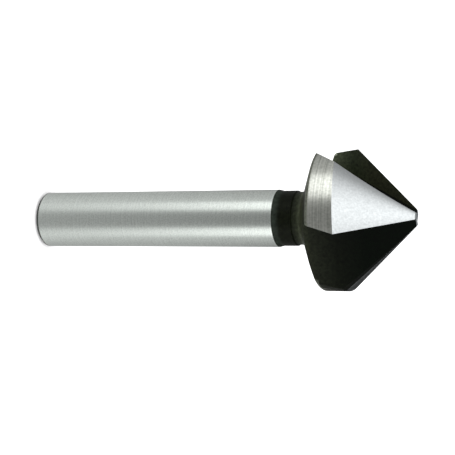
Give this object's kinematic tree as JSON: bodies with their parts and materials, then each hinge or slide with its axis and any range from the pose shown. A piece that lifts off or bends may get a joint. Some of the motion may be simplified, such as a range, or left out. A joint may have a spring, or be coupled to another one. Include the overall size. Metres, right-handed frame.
{
  "type": "countersink bit",
  "caption": "Conical countersink bit with ground flutes and a straight cylindrical shank, for cutting a bevelled seat at the mouth of a drilled hole.",
  "frame": {"origin": "centre of the flat at the shank end, where the tool's axis meets it", "axes": "+Z along the tool's axis from the shank end to the cutting tip; the first cutting edge is turned 12 degrees from +X, about +Z"},
  "size_m": [0.025, 0.0244, 0.07],
  "materials": {
    "high_speed_steel": "ground bright on the shank and lands, black oxide in the flutes and on the neck and rear face"
  },
  "bodies": {
    "root": {"countersink": "high_speed_steel"}
  },
  "joints": []
}
